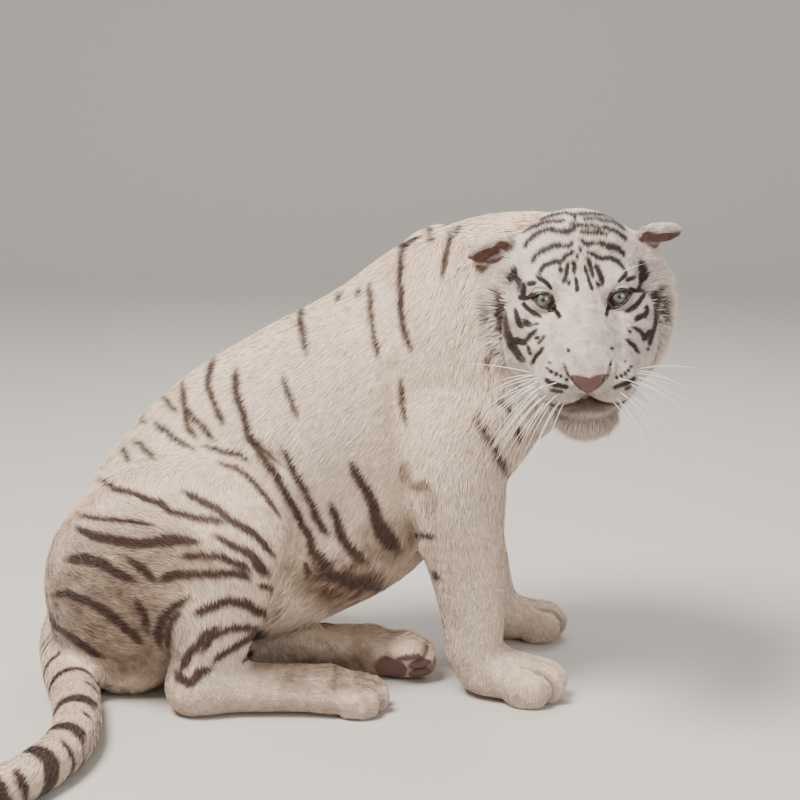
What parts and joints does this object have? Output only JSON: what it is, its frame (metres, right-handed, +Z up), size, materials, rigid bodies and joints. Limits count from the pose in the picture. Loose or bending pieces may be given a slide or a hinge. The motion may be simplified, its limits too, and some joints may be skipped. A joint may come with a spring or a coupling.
{
  "type": "white tiger",
  "caption": "Life-size still model of a white tiger, sitting on its rump with forelegs upright and its head turned to its right.",
  "frame": {"origin": "middle of the bounding box at floor level", "axes": "+Z up; the body points along +X and the head looks along -Y"},
  "size_m": [1.2942, 0.9938, 0.8656],
  "materials": {
    "coat_cream": "short cream-white fur with brown stripes",
    "coat_white": "short white fur with brown-black stripes",
    "coat_dusty": "short fur, dusty over the haunches, with brown stripes and tail rings",
    "eye": "wet, glossy, pale blue-grey iris"
  },
  "bodies": {
    "root": {"head": "coat_white", "ear_right": "coat_white", "ear_left": "coat_white", "eye_right": "eye", "eye_left": "eye", "neck": "coat_cream", "trunk": "coat_cream", "foreleg_right": "coat_cream", "forepaw_right": "coat_cream", "foreleg_left": "coat_cream", "forepaw_left": "coat_cream", "hind_leg_right": "coat_dusty", "hind_foot_right": "coat_cream", "hind_leg_left": "coat_dusty", "hind_foot_left": "coat_cream", "tail_root": "coat_dusty", "tail_fore": "coat_dusty", "tail_middle": "coat_dusty", "tail_end": "coat_dusty"}
  },
  "joints": []
}
